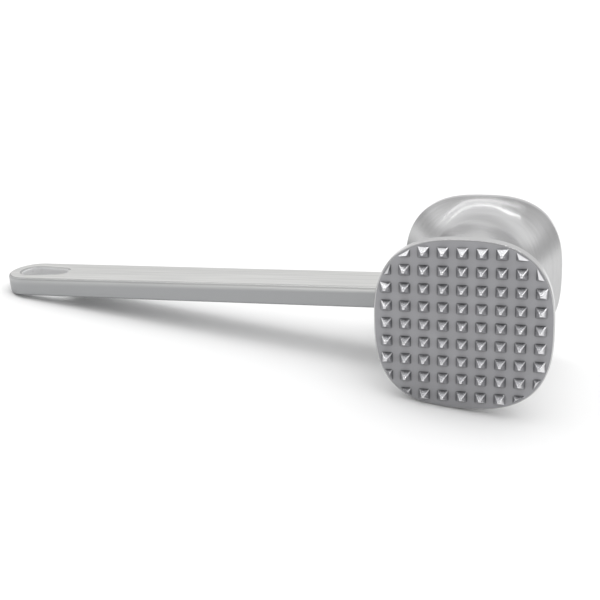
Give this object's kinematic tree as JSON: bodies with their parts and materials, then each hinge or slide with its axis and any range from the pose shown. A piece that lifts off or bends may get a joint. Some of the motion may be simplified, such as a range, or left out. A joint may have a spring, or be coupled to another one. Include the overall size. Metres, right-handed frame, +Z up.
{
  "type": "meat mallet",
  "caption": "Cast aluminium meat mallet: spool head with a toothed face and a smooth face, flat bar handle with a hanging slot.",
  "frame": {"origin": "centre of the footprint, on the worktop that the mallet lies on", "axes": "+Z up from the worktop, the toothed face looks along -Y and the smooth face along +Y, the handle runs towards -X"},
  "size_m": [0.22, 0.0666, 0.0614],
  "materials": {
    "cast_aluminium": "satin, die cast and brushed",
    "pin_steel": "ground"
  },
  "bodies": {
    "root": {"head": "cast_aluminium", "handle": "cast_aluminium", "cross_pin": "pin_steel"}
  },
  "joints": []
}
